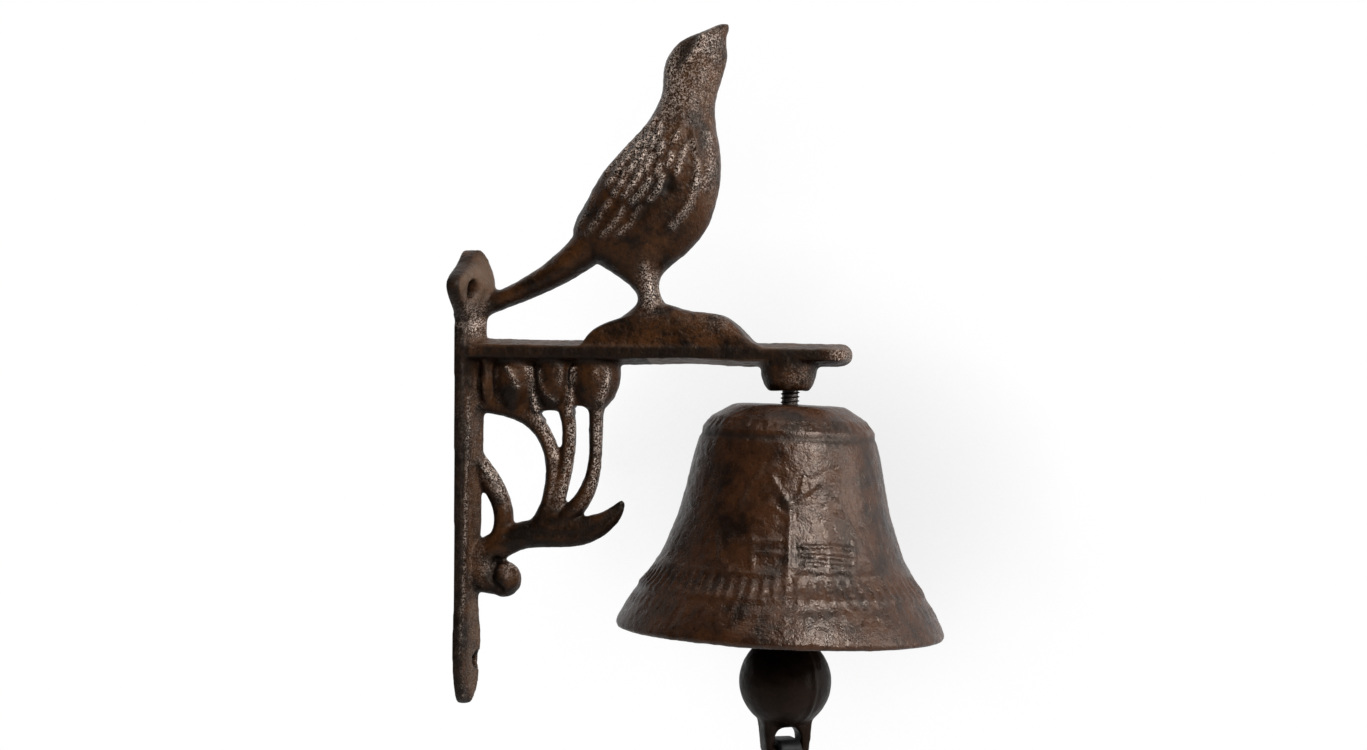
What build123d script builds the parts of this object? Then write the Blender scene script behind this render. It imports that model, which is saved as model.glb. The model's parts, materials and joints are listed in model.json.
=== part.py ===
"""Cast iron wall bell: a bird on a scrolled bracket, with a bell, a clapper and a leather pull.

Millimetres. The origin is on the wall plate's flat back, on the centre plane, at the arm's height.
+X leads out from the wall along the arm, +Z is up, and the centre plane is Y = 0.
"""

from build123d import *
from math import cos, radians, sin
import os

os.makedirs("parts", exist_ok=True)

# Wall plate: one row for each height, from the top lobe down to the tip
# (height, half width, thickness at the edge, thickness at the middle ridge)
plate_top = [
    (31.2, 1.2, 4.8, 6.2),
    (29.0, 5.0, 4.8, 8.0),
    (25.7, 11.0, 4.7, 9.6),
    (20.2, 20.4, 4.6, 10.6),
    (13.6, 15.0, 3.8, 9.4),
    (8.0, 9.4, 2.8, 8.2),
]
plate_waist_z = -76.0
plate_waist = (plate_waist_z, 7.2, 2.6, 6.2)
plate_tip = [
    plate_waist,
    (-84.0, 8.2, 2.8, 6.6),
    (-92.0, 8.6, 2.9, 6.8),
    (-100.0, 7.6, 2.8, 6.3),
    (-106.0, 5.0, 2.6, 5.2),
    (-109.0, 1.4, 2.4, 3.6),
]
top_hole_spacing = 22.0
top_hole_z = 18.6
top_hole_dia = 5.8
low_hole_z = -95.4
low_hole_dia = 5.5

# Arm: a drafted bar, deepest on the centre plane, whose back slopes down a little to the end
arm_length = 121.6
arm_root_top = 3.9
arm_top = 2.6
arm_bottom = -4.1
# The wavy lower edge: (share of the arm's length, height)
arm_belly = [(0.41, -4.2), (0.59, -3.7), (0.74, -4.5), (0.9, -4.4)]
arm_root_half_width = 8.9
arm_end_half_width = 8.2
arm_draft = 13.0
arm_nose = 3.2
arm_corner = 6.0

# Boss under the arm's end, with the tapped hole for the eyebolt
bolt_from_end = 18.9
boss_off_bolt = 0.5
boss_bottom = -11.6
# (radius, height)
boss_outline = [(8.6, -4.0), (8.3, -7.0), (7.3, -10.0), (6.0, boss_bottom)]
bolt_lean = 2.1
bolt_dia = 6.0
tap_depth = 10.0
thread_end_gap = 0.5

# Mound that the bird stands on
# (place along the arm, height)
mound_half_width = 8.2
mound_draft = 9.0
mound_outline = [
    (39.4, 2.4), (42.0, 6.0), (46.5, 8.8), (53.0, 11.4), (60.0, 14.4), (68.0, 13.6),
    (77.0, 12.0), (83.0, 10.6), (86.8, 7.8), (89.6, 4.8), (94.0, 2.2),
]

# Bird: level sections from the foot up to the beak
# (height, back, front, thickness)
bird_sections = [
    (9.0, 50.5, 68.5, 12.0),
    (13.5, 54.2, 64.3, 9.5),
    (18.7, 54.6, 62.2, 9.0),
    (22.9, 49.4, 62.6, 11.0),
    (27.5, 42.0, 67.2, 15.5),
    (32.5, 36.4, 73.0, 19.0),
    (38.0, 35.4, 76.9, 21.5),
    (44.5, 38.5, 79.2, 23.0),
    (52.0, 42.6, 80.7, 23.5),
    (60.0, 48.9, 80.7, 22.5),
    (67.3, 55.9, 79.5, 20.0),
    (73.5, 60.5, 78.8, 17.0),
    (79.5, 62.7, 79.8, 14.5),
    (85.5, 63.0, 81.8, 13.5),
    (91.0, 64.9, 82.6, 13.0),
    (94.6, 68.3, 82.2, 11.6),
    (97.2, 74.2, 82.7, 8.4),
    (98.9, 78.2, 83.1, 4.6),
    (99.8, 80.8, 82.8, 1.6),
]

# Tail, and the stems, leaf and strands of the scroll: points (x, z) along the middle,
# then (place along the curve, width seen from the side, thickness)
tail_line = [(45.0, 38.0), (36.0, 28.6), (27.0, 22.5), (17.0, 17.6), (7.0, 13.8), (3.0, 12.6)]
tail_sizes = [(0.0, 14.0, 14.0), (0.28, 10.0, 12.0), (0.55, 7.2, 11.0), (0.8, 6.2, 10.0), (1.0, 7.4, 9.0)]
branch_line = [(3.0, -15.5), (10.0, -17.6), (17.5, -18.8), (22.7, -20.8), (26.2, -24.8),
               (28.8, -30.8), (29.2, -38.0), (28.6, -45.0), (25.6, -54.0)]
branch_sizes = [(0.0, 6.4, 7.0), (0.35, 6.2, 7.0), (0.6, 4.9, 6.6), (0.85, 5.2, 6.6), (1.0, 8.0, 7.0)]
second_line = [(31.2, -12.0), (33.1, -19.5), (34.1, -26.0), (34.0, -33.5), (32.0, -41.0), (28.6, -54.0)]
second_sizes = [(0.0, 4.6, 7.0), (0.4, 4.3, 6.4), (0.7, 5.0, 6.4), (1.0, 7.0, 7.0)]
third_line = [(43.2, -12.0), (42.7, -18.0), (43.1, -26.5), (43.1, -35.0), (39.3, -43.0), (33.6, -48.6),
              (27.8, -53.5)]
third_sizes = [(0.0, 5.4, 8.0), (0.2, 4.4, 6.4), (0.6, 4.7, 6.4), (1.0, 6.0, 7.0)]
leaf_line = [(51.4, -45.8), (48.0, -50.3), (42.0, -54.2), (34.0, -55.4), (25.0, -55.9), (16.0, -58.2),
             (9.0, -62.0), (3.0, -65.2)]
leaf_sizes = [(0.0, 1.6, 2.4), (0.12, 5.6, 5.0), (0.27, 8.4, 6.6), (0.6, 8.8, 8.0), (0.8, 9.2, 8.0),
              (1.0, 7.6, 8.0)]
strand_line = [(2.2, -29.3), (6.6, -36.0), (10.8, -42.0), (13.5, -48.5), (13.7, -54.0), (10.8, -60.0)]
strand_sizes = [(0.0, 6.0, 7.5), (0.3, 6.3, 6.8), (0.7, 6.2, 6.6), (1.0, 5.8, 7.0)]
curl_line = [(3.0, -67.4), (8.0, -70.0), (14.2, -70.4)]
curl_sizes = [(0.0, 12.5, 8.0), (0.5, 9.4, 9.4), (1.0, 10.4, 10.4)]
curl_radius = 5.5

# Front edge of the folded wing: points (x, out from the centre plane, z) along the bird's side
wing_edge = [
    (72.0, 6.0, 70.0), (74.0, 8.5, 64.5), (74.9, 8.3, 53.8), (73.5, 8.4, 47.6), (70.8, 8.7, 42.9),
    (66.7, 9.0, 38.2), (61.0, 7.0, 34.0),
]
wing_edge_radius = 1.2

# Hanging petals under the arm: (left, right, bottom, half thickness)
petals = [
    (6.9, 11.0, -17.2, 6.4),
    (10.6, 24.0, -18.4, 7.2),
    (23.4, 36.0, -18.2, 7.2),
    (35.0, 50.0, -18.0, 7.2),
]
# Each petal's levels: (share of its depth, share of its width taken in on each side, share of its thickness)
petal_levels = [(0.55, 0.0, 1.0), (0.85, 0.16, 0.8), (1.0, 0.38, 0.4)]
# The web that the petals stand out from: (place along the arm, height)
apron = [(6.0, -3.0), (49.4, -3.0), (48.8, -11.5), (44.0, -17.6), (37.0, -16.6), (32.5, -17.6),
         (24.5, -18.6), (8.0, -16.6)]
apron_half_thickness = 3.2

# Bell: (outside radius, height from the crown)
bell_gap = 4.2
crown_radius = 16.5
shoulder = [(21.3, -2.7), (24.3, -5.8)]
bell_flank = [
    (26.2, -8.5), (28.0, -14.8), (29.9, -24.0), (32.0, -33.1), (34.6, -40.6),
    (38.2, -48.9), (43.0, -55.9), (47.0, -61.9), (49.8, -67.6),
]
bell_wall = 3.6
crown_wall = 4.0
lip_drop = 1.2
lip_round = 0.6
shoulder_inset = 1.0
# Raised rings: (radius, height) where each one's flat middle starts and ends
ring_proud = 0.45
ring_slope = 0.7
rings = [
    ((22.5, -3.95), (23.4, -4.9)),
    ((25.0, -6.9), (25.8, -7.9)),
    ((37.6, -48.0), (38.2, -48.9)),
    ((42.2, -54.7), (42.8, -55.6)),
]
bell_bore = 6.8

# Nut and washer under the crown
washer_dia = 14.0
washer_thick = 1.2
nut_across_flats = 10.0
nut_height = 5.0

# Eye of the bolt, the link in it and the clapper's eye
swing_gap = 0.3
eye_drop = 19.9
eye_ring = 6.0
eye_wire = 2.0
link_wire = 1.5
link_ring = 4.5
link_pitch = 14.0
clapper_ring = 5.0
clapper_wire = 2.0

# Clapper ball below its pivot, with the arched lug under it that the pull goes through
ball_drop = 47.4
ball_radius = 14.0
stem_radius = 3.2
lug_turn = 25.0
lug_start = 8.7
lug_length = 18.0
lug_end_rise = 5.5
lug_half_top = 8.0
lug_half_low = 6.6
lug_thick = 8.0
lug_hole_width = 8.3
lug_hole_height = 6.5
lug_hole_floor = 6.6
lug_hole_arch = 3.2

# Pull: one leather strap through the lug, with both ends hanging together
strap_width = 12.0
strap_thick = 2.8
strap_waist = 6.6
strap_gap = 0.3
strap_fall = 118.0
strap_turn_drop = 3.0
strap_join_drop = 18.0
strap_corner = 1.6
strap_bend = 12.0

bolt_x = arm_length - bolt_from_end
boss_x = bolt_x - boss_off_bolt
crown_z = boss_bottom - bell_gap
eye_z = crown_z - eye_drop
link_pivot_z = eye_z - eye_ring
link_top_z = link_pivot_z + eye_wire + swing_gap + link_wire
clapper_pivot_z = link_top_z - link_pitch
clapper_eye_top = clapper_pivot_z + link_wire + swing_gap + clapper_wire
ball_z = clapper_pivot_z - ball_drop
lug_top = ball_z - lug_start
lug_bottom = lug_top - lug_length
lug_hole_bottom = lug_bottom + lug_hole_floor
lug_hole_top = lug_hole_bottom + lug_hole_height
strap_end = lug_bottom - strap_fall

# The bolt, the bell and what holds it share one axis, a little off square
lean_dir = Vector(sin(radians(bolt_lean)), 0, cos(radians(bolt_lean)))
hang = Plane(origin=(bolt_x, 0, boss_bottom), x_dir=(lean_dir.Z, 0, -lean_dir.X), z_dir=lean_dir)
profile = Plane(origin=hang.origin, x_dir=hang.x_dir, z_dir=(0, -1, 0))

# The eye is on that axis, and what swings in it hangs plumb from there
eye_depth = boss_bottom - eye_z
swing_x = bolt_x - eye_depth * sin(radians(bolt_lean))


def plate_sections(rows):
    """Five-sided level sections of the drafted plate, reaching a little behind its back."""
    behind = 1.0
    sections = []
    for height, half, edge, ridge in rows:
        with BuildSketch(Plane.XY.offset(height)) as section:
            with BuildLine():
                Polyline((-behind, -half), (edge, -half), (ridge, 0), (edge, half), (-behind, half),
                         close=True)
            make_face()
        sections.append(section.sketch.face())
    return sections


def rib_sections(points, sizes):
    """Elliptical sections square to a smooth curve in the centre plane."""
    with BuildLine() as curve:
        Spline(*[(x, 0, z) for x, z in points])
    sections = []
    for place, width, thickness in sizes:
        across = Plane(origin=curve.line @ place, x_dir=(0, 1, 0), z_dir=curve.line % place)
        with BuildSketch(across) as section:
            Ellipse(thickness / 2, width / 2)
        sections.append(section.sketch.face())
    return sections


def side_rib(points, side, radius):
    """A round ridge along one side of the bird; side is 1 or -1."""
    with BuildPart() as ridge:
        with BuildLine() as curve:
            Spline(*[(x, side * out, z) for x, out, z in points])
        with BuildSketch(Plane(origin=curve.line @ 0, z_dir=curve.line % 0)):
            Circle(radius)
        sweep()
    return ridge.part


def ring_band(start, end, top):
    """One raised ring's outline: a flat middle a little proud of the bell, and sloping sides."""
    along = (Vector(*end) - Vector(*start)).normalized()
    out = Vector(-along.Y, along.X) * ring_proud
    rim = [Vector(*start) - along * ring_slope, Vector(*start) + out, Vector(*end) + out,
           Vector(*end) + along * ring_slope, Vector(*end) - out, Vector(*start) - out]
    return [(point.X, top + point.Y) for point in rim]


def level_ellipse(height, left, right, half_thickness):
    """An ellipse in a level plane, from left to right across the centre plane."""
    with BuildSketch(Plane(origin=((left + right) / 2, 0, height))) as section:
        Ellipse((right - left) / 2, half_thickness)
    return section.sketch.face()


def mound_section(x, top):
    """A drafted section across the mound, with its upper corners rounded."""
    lean_in = top * sin(radians(mound_draft))
    with BuildSketch(Plane(origin=(x, 0, 0), x_dir=(0, 1, 0), z_dir=(1, 0, 0))) as section:
        with BuildLine():
            Polyline((-mound_half_width, 0), (mound_half_width, 0), (mound_half_width - lean_in, top),
                     (lean_in - mound_half_width, top), close=True)
        make_face()
        fillet(section.vertices().group_by(Axis.Y)[-1], top * 0.4)
    return section.sketch.face()


with BuildPart() as bracket:
    with BuildSketch(Plane.XZ) as bar:
        with BuildLine():
            Polyline((0, arm_bottom), *[(share * arm_length, z) for share, z in arm_belly],
                     (arm_length, arm_bottom), (arm_length, arm_top), (0, arm_root_top), close=True)
        make_face()
        fillet(bar.vertices().group_by(Axis.X)[-1], arm_nose)
    extrude(amount=arm_root_half_width, both=True, taper=arm_draft)
    with BuildSketch() as plan:
        with BuildLine():
            Polyline((0, -arm_root_half_width), (arm_length, -arm_end_half_width),
                     (arm_length, arm_end_half_width), (0, arm_root_half_width), close=True)
        make_face()
        fillet(plan.vertices().group_by(Axis.X)[-1], arm_corner)
    extrude(amount=arm_length, both=True, mode=Mode.INTERSECT)

    loft(plate_sections(plate_top))
    loft(plate_sections([plate_top[-1], plate_waist]), ruled=True)
    loft(plate_sections(plate_tip))

    loft([mound_section(x, top) for x, top in mound_outline])

    with BuildSketch(Plane.XZ):
        with BuildLine():
            Polyline(
                (boss_x, 0), (boss_x + boss_outline[0][0], 0),
                *[(boss_x + radius, z) for radius, z in boss_outline],
                (boss_x, boss_bottom), close=True,
            )
        make_face()
    revolve(axis=Axis((boss_x, 0, 0), (0, 0, 1)))

    loft([level_ellipse(z, back, front, thick / 2) for z, back, front, thick in bird_sections])
    for side in (1, -1):
        add(side_rib(wing_edge, side, wing_edge_radius))
    loft(rib_sections(tail_line, tail_sizes))
    for line, sizes in (
        (branch_line, branch_sizes),
        (second_line, second_sizes),
        (third_line, third_sizes),
        (leaf_line, leaf_sizes),
        (strand_line, strand_sizes),
        (curl_line, curl_sizes),
    ):
        loft(rib_sections(line, sizes))
    with Locations((curl_line[-1][0], 0, curl_line[-1][1])):
        Sphere(curl_radius)
    with BuildSketch(Plane.XZ):
        with BuildLine():
            Polyline(*apron, close=True)
        make_face()
    extrude(amount=apron_half_thickness, both=True)
    for left, right, bottom, half in petals:
        levels = [level_ellipse(arm_bottom / 2, left, right, half)]
        for depth, taken_in, thickness in petal_levels:
            inset = (right - left) * taken_in
            levels.append(level_ellipse(bottom * depth, left + inset, right - inset, half * thickness))
        loft(levels)

    with BuildSketch(Plane.YZ):
        with Locations((-top_hole_spacing / 2, top_hole_z), (top_hole_spacing / 2, top_hole_z)):
            Circle(top_hole_dia / 2)
        with Locations((0, low_hole_z)):
            Circle(low_hole_dia / 2)
    extrude(amount=20, both=True, mode=Mode.SUBTRACT)
    with BuildSketch(hang.offset(-1)):
        Circle(bolt_dia / 2)
    extrude(amount=tap_depth + 1, mode=Mode.SUBTRACT)
    split(bisect_by=Plane.YZ, keep=Keep.TOP)
bracket.part.label = "bracket"
export_step(bracket.part, "parts/bracket.step")


with BuildPart() as bell:
    top = -bell_gap
    with BuildSketch(profile):
        with BuildLine():
            outside = [(r, top + z) for r, z in bell_flank]
            inside = [(r - bell_wall, top + z) for r, z in bell_flank]
            flank = Spline(*outside)
            hollow = Spline(*inside)
            Polyline((bell_bore / 2, top), (crown_radius, top), *[(r, top + z) for r, z in shoulder],
                     outside[0])
            Polyline(outside[-1], (outside[-1][0] - lip_round, outside[-1][1] - lip_drop),
                     (inside[-1][0] + lip_round, inside[-1][1] - lip_drop), inside[-1])
            Polyline(inside[0], (shoulder[0][0] - shoulder_inset, top - crown_wall),
                     (bell_bore / 2, top - crown_wall), (bell_bore / 2, top))
        make_face()
        for start, end in rings:
            with BuildLine():
                Polyline(*ring_band(start, end, top), close=True)
            make_face()
    revolve(axis=Axis(hang.origin, hang.z_dir))
bell.part.label = "bell"
export_step(bell.part, "parts/bell.step")


nut_top = -bell_gap - crown_wall - washer_thick
with BuildPart() as eyebolt:
    with BuildSketch(hang.offset(eye_ring - eye_depth)):
        Circle(bolt_dia / 2)
    extrude(amount=eye_depth - eye_ring + tap_depth - thread_end_gap)
    with BuildSketch(Plane.XY.offset(eye_z)):
        with Locations((swing_x + eye_ring, 0)):
            Circle(eye_wire)
    revolve(axis=Axis((swing_x, 0, eye_z), (0, 1, 0)))
eyebolt.part.label = "eyebolt"
export_step(eyebolt.part, "parts/eyebolt.step")


with BuildPart() as washer:
    with BuildSketch(hang.offset(nut_top)):
        Circle(washer_dia / 2)
        Circle(bolt_dia / 2, mode=Mode.SUBTRACT)
    extrude(amount=washer_thick)
washer.part.label = "bell_washer"
export_step(washer.part, "parts/bell_washer.step")


with BuildPart() as nut:
    with BuildSketch(hang.offset(nut_top - nut_height)):
        RegularPolygon(nut_across_flats / 2, 6, major_radius=False)
        Circle(bolt_dia / 2, mode=Mode.SUBTRACT)
    extrude(amount=nut_height)
nut.part.label = "bell_nut"
export_step(nut.part, "parts/bell_nut.step")


with BuildPart() as link:
    straight = link_pitch - 2 * link_ring
    with BuildLine(Plane(origin=(swing_x, 0, link_top_z - link_pitch / 2), x_dir=(0, 1, 0), z_dir=(1, 0, 0))):
        RadiusArc((-link_ring, straight / 2), (link_ring, straight / 2), link_ring)
        Line((link_ring, straight / 2), (link_ring, -straight / 2))
        RadiusArc((link_ring, -straight / 2), (-link_ring, -straight / 2), link_ring)
        Line((-link_ring, -straight / 2), (-link_ring, straight / 2))
    with BuildSketch(Plane(origin=(swing_x, link_ring, link_top_z - link_pitch / 2), z_dir=(0, 0, 1))):
        Circle(link_wire)
    sweep()
link.part.label = "clapper_link"
export_step(link.part, "parts/clapper_link.step")


lug_plane = Plane(origin=(swing_x, 0, 0), x_dir=(cos(radians(lug_turn)), sin(radians(lug_turn)), 0),
                  z_dir=(sin(radians(lug_turn)), -cos(radians(lug_turn)), 0))
with BuildPart() as clapper:
    ring_z = clapper_eye_top - clapper_ring
    with BuildSketch(Plane(origin=(swing_x + clapper_ring, 0, ring_z), x_dir=(1, 0, 0), z_dir=(0, 0, 1))):
        Circle(clapper_wire)
    revolve(axis=Axis((swing_x, 0, ring_z), (0, 1, 0)))
    with BuildSketch(Plane(origin=(swing_x, 0, ring_z - clapper_ring))):
        Circle(stem_radius)
    extrude(amount=ball_z - ring_z + clapper_ring)
    with Locations((swing_x, 0, ball_z)):
        Sphere(ball_radius)
    with BuildSketch(lug_plane):
        with BuildLine():
            lug_end = lug_bottom + lug_end_rise
            Polyline((-lug_half_low, lug_end), (-lug_half_top, lug_top), (lug_half_top, lug_top),
                     (lug_half_low, lug_end))
            ThreePointArc((lug_half_low, lug_end), (0, lug_bottom), (-lug_half_low, lug_end))
        make_face()
    extrude(amount=lug_thick / 2, both=True)
    with BuildSketch(lug_plane):
        with Locations((0, (lug_hole_top + lug_hole_bottom) / 2)):
            arch = Rectangle(lug_hole_width, lug_hole_top - lug_hole_bottom)
            fillet(arch.vertices().group_by(Axis.Y)[-1], lug_hole_arch)
    extrude(amount=lug_thick, both=True, mode=Mode.SUBTRACT)
clapper.part.label = "clapper"
export_step(clapper.part, "parts/clapper.step")


strap_plane = Plane(origin=(swing_x, 0, 0), x_dir=lug_plane.z_dir, z_dir=-lug_plane.x_dir)
with BuildPart() as strap:
    side = lug_thick / 2 + strap_gap + strap_thick / 2
    crest = lug_hole_bottom + strap_gap / 3 + strap_thick / 2
    close = strap_thick / 2 + strap_gap / 3
    join = lug_bottom - strap_join_drop
    turn = lug_bottom - strap_turn_drop
    with BuildLine(strap_plane) as run:
        FilletPolyline((close, strap_end), (close, join), (side, turn), (side, crest),
                       (-side, crest), (-side, turn), (-close, join), (-close, strap_end),
                       radius=[strap_bend, strap_bend, strap_corner, strap_corner, strap_bend, strap_bend])
    with BuildSketch(Plane(origin=run.line @ 0, x_dir=lug_plane.x_dir, z_dir=run.line % 0)):
        Rectangle(strap_width, strap_thick)
    sweep(transition=Transition.ROUND)
    with BuildSketch(lug_plane):
        with BuildLine():
            Polyline((-strap_waist / 2, crest + 5), (-strap_waist / 2, crest - strap_thick / 2),
                     (-strap_width / 2, crest - strap_width / 2), (-strap_width / 2, strap_end - 1),
                     (strap_width / 2, strap_end - 1), (strap_width / 2, crest - strap_width / 2),
                     (strap_waist / 2, crest - strap_thick / 2), (strap_waist / 2, crest + 5), close=True)
        make_face()
    extrude(amount=20, both=True, mode=Mode.INTERSECT)
strap.part.label = "pull_strap"
export_step(strap.part, "parts/pull_strap.step")

for piece in (bracket, bell, eyebolt, washer, nut, link, clapper, strap):
    print(piece.part.label, round(piece.part.volume), "mm3,", len(piece.part.solids()), "solid")
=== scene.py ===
# %% [markdown]
# # A cast iron wall bell
#
# The object is a bracket cast in one piece, with a songbird on its arm, and a small bell that
# hangs from an eyebolt, with a clapper and a leather pull. The shapes come from the CAD frame.
# This file gives them what a sand mould, a coat of brown lacquer and years of use leave.
# %% Load the frame
import bpy
import json
import math
import numpy as np
from mathutils import Matrix, Vector

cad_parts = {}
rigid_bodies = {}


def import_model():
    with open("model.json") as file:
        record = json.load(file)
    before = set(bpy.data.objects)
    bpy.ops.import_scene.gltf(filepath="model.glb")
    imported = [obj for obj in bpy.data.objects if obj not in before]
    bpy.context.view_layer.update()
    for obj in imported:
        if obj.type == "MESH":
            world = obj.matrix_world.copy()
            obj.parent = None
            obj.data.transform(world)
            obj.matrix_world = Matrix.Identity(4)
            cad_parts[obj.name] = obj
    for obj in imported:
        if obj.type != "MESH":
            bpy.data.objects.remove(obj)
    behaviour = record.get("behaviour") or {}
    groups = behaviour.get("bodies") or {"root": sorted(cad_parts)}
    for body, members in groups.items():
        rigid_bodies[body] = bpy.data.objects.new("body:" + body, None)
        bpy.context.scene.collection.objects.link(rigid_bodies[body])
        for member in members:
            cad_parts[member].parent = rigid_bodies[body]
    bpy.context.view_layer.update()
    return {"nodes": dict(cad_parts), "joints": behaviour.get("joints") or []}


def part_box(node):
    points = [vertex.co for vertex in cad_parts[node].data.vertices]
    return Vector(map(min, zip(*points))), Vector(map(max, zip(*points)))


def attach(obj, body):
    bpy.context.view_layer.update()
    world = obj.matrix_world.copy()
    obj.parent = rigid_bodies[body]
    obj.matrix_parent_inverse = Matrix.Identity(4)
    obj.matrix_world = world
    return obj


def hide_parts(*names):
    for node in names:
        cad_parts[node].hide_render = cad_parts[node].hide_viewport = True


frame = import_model()
MM = 0.001
hinges = {joint["name"]: joint for joint in frame["joints"]}

# %% [markdown]
# ## A few habits
#
# Operators act on all that is selected, so each step first selects its own piece and nothing
# else. A finished piece sits at the origin with its place in its mesh, so a piece that was
# built upright is moved by a matrix, which is then applied.
# %% Select a piece, apply a modifier, settle a piece
def pick(*pieces):
    for other in bpy.context.scene.objects:
        other.select_set(False)
    for piece in pieces:
        piece.select_set(True)
    bpy.context.view_layer.objects.active = pieces[0]


def apply_modifier(piece, kind, name, **settings):
    pick(piece)
    modifier = piece.modifiers.new(name, kind)
    for key, value in settings.items():
        setattr(modifier, key, value)
    bpy.ops.object.modifier_apply(modifier=modifier.name)


def settle(piece, matrix=Matrix.Identity(4)):
    pick(piece)
    piece.matrix_world = matrix @ piece.matrix_world
    bpy.ops.object.transform_apply(location=True, rotation=True, scale=True)


def take_up(piece, node, body):
    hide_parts(node)
    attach(piece, body)
    print(piece.name, "has", len(piece.data.polygons), "faces")


# %% [markdown]
# ## The castings
#
# Sand moulds leave no sharp edge and no dead flat face. A bevel on every CAD edge would break
# where thin stems run into each other. So each casting is a copy of its CAD mesh, merged,
# remeshed into small even facets and softened a little. The even facets also carry the relief.
# %% Copy a casting out of the frame
def casting(node, name, body, voxel, softening):
    piece = bpy.data.objects.new(name, frame["nodes"][node].data.copy())
    bpy.context.scene.collection.objects.link(piece)
    piece.data.name = name
    piece.data.materials.clear()
    pick(piece)
    bpy.ops.object.mode_set(mode="EDIT")
    bpy.ops.mesh.select_all(action="SELECT")
    bpy.ops.mesh.remove_doubles(threshold=0.001 * MM)
    bpy.ops.object.mode_set(mode="OBJECT")
    apply_modifier(piece, "REMESH", "even_facets", mode="VOXEL", voxel_size=voxel * MM,
                   use_smooth_shade=True)
    apply_modifier(piece, "SMOOTH", "sand_softened", factor=0.5, iterations=softening)
    take_up(piece, node, body)
    return piece


bracket = casting("bracket", "bracket_casting", "frame", voxel=0.6, softening=5)
bell = casting("bell", "bell_casting", "bell", voxel=0.72, softening=6)
clapper = casting("clapper", "clapper_casting", "clapper", voxel=0.6, softening=16)

# The plate's upper lobes and the bell above its lip are rounded more than the rest.
lobes = bracket.vertex_groups.new(name="lobes")
lobes.add([v.index for v in bracket.data.vertices
           if v.co.z > 11 * MM and v.co.x < 12 * MM and v.co.z + v.co.x < 36 * MM], 1.0, "REPLACE")
apply_modifier(bracket, "SMOOTH", "round_lobes", factor=0.5, iterations=44, vertex_group="lobes")
above_lip = bell.vertex_groups.new(name="above_lip")
lip_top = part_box("bell")[0].z + 7 * MM
above_lip.add([v.index for v in bell.data.vertices if v.co.z > lip_top], 1.0, "REPLACE")
apply_modifier(bell, "SMOOTH", "round_shoulder", factor=0.5, iterations=30, vertex_group="above_lip")

# %% [markdown]
# ## Relief
#
# Feathers, petal ribs and the worn picture on the bell are shallow. A carver would cut them in
# the pattern with a gouge. Here each stroke is a line with a width and a height. Every vertex
# near a line gets a lift in millimetres, which becomes the weight of a Displace modifier.
# %% Strokes and lifts
def vertex_rows(piece, what):
    flat = np.empty(len(piece.data.vertices) * 3)
    piece.data.vertices.foreach_get(what, flat)
    return flat.reshape(-1, 3)


def from_the_side(piece):
    places = vertex_rows(piece, "co") / MM
    sideways = np.clip(np.abs(vertex_rows(piece, "normal")[:, 1]) * 1.6 - 0.3, 0, 1)
    return places, places[:, [0, 2]], sideways


def from_line(places, line):
    nearest = np.full(len(places), 1e9)
    for start, end in zip(line[:-1], line[1:]):
        start, run = np.array(start, float), np.subtract(end, start).astype(float)
        along = np.clip((places - start) @ run / max(run @ run, 1e-9), 0, 1)
        nearest = np.minimum(nearest, np.linalg.norm(places - start - along[:, None] * run, axis=1))
    return nearest


def stroke(places, line, width, height):
    return height * np.exp(-1.4 * (from_line(places, line) / (width / 2)) ** 2)


def carve(piece, name, lifts):
    for side, amount in (("raised", np.maximum(lifts, 0)), ("sunk", np.maximum(-lifts, 0))):
        depth = amount.max()
        if depth < 0.01:
            continue
        group = piece.vertex_groups.new(name=f"{name}_{side}")
        for index in np.nonzero(amount > depth * 0.01)[0]:
            group.add([int(index)], float(amount[index] / depth), "REPLACE")
        apply_modifier(piece, "DISPLACE", group.name, vertex_group=group.name, mid_level=0,
                       strength=depth * MM if side == "raised" else -depth * MM)
        print(piece.name, name, side, round(depth, 2), "mm")


def paint(piece, name, values):
    attribute = piece.data.attributes.new(name, "FLOAT", "POINT")
    attribute.data.foreach_set("value", values.astype(np.float32))
    print(piece.name, "painted", name, "mean", round(float(values.mean()), 3))


# %% [markdown]
# The bird carries short feathers on its shoulder, long ones towards the tail, a ridge on its
# cheek and a hollow for its eye. Both sides of the pattern are cut alike, so a stroke is
# drawn once in the side view and acts on both.
# %% Feathers and head
places, side_view, sideways = from_the_side(bracket)

short_feathers = [
    ((63.9, 68.2), (63.2, 65.4)), ((61.7, 69.9), (60.3, 67.4)), ((58.8, 68.4), (57.2, 66.3)),
    ((56.0, 65.6), (54.6, 63.8)), ((60.0, 65.3), (58.9, 62.9)), ((53.5, 63.1), (52.1, 61.0)),
    ((57.5, 63.5), (56.1, 61.1)), ((62.1, 64.7), (61.1, 61.9)), ((51.1, 60.3), (49.3, 58.2)),
    ((55.0, 60.4), (53.6, 57.6)), ((59.7, 61.1), (58.1, 57.6)), ((64.7, 62.6), (64.0, 59.5)),
    ((48.2, 56.8), (46.1, 53.9)), ((52.2, 56.8), (50.2, 53.7)), ((56.5, 57.6), (54.5, 54.1)),
    ((61.1, 58.4), (59.8, 55.2)), ((69.3, 65.5), (67.9, 62.7)), ((67.6, 59.2), (66.6, 55.7)),
    ((71.5, 61.3), (70.7, 57.8)), ((49.4, 52.6), (47.6, 50.5)), ((70.1, 57.1), (68.8, 52.6)),
    ((64.1, 56.0), (63.0, 53.2)),
]
long_feathers = [
    ((53.7, 54.1), (51.9, 50.6), (49.8, 47.7)), ((58.3, 54.5), (56.2, 50.6), (53.1, 47.1)),
    ((60.9, 51.4), (58.8, 47.9), (55.6, 45.2)), ((65.2, 52.5), (64.2, 49.0), (61.3, 45.5)),
]
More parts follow.
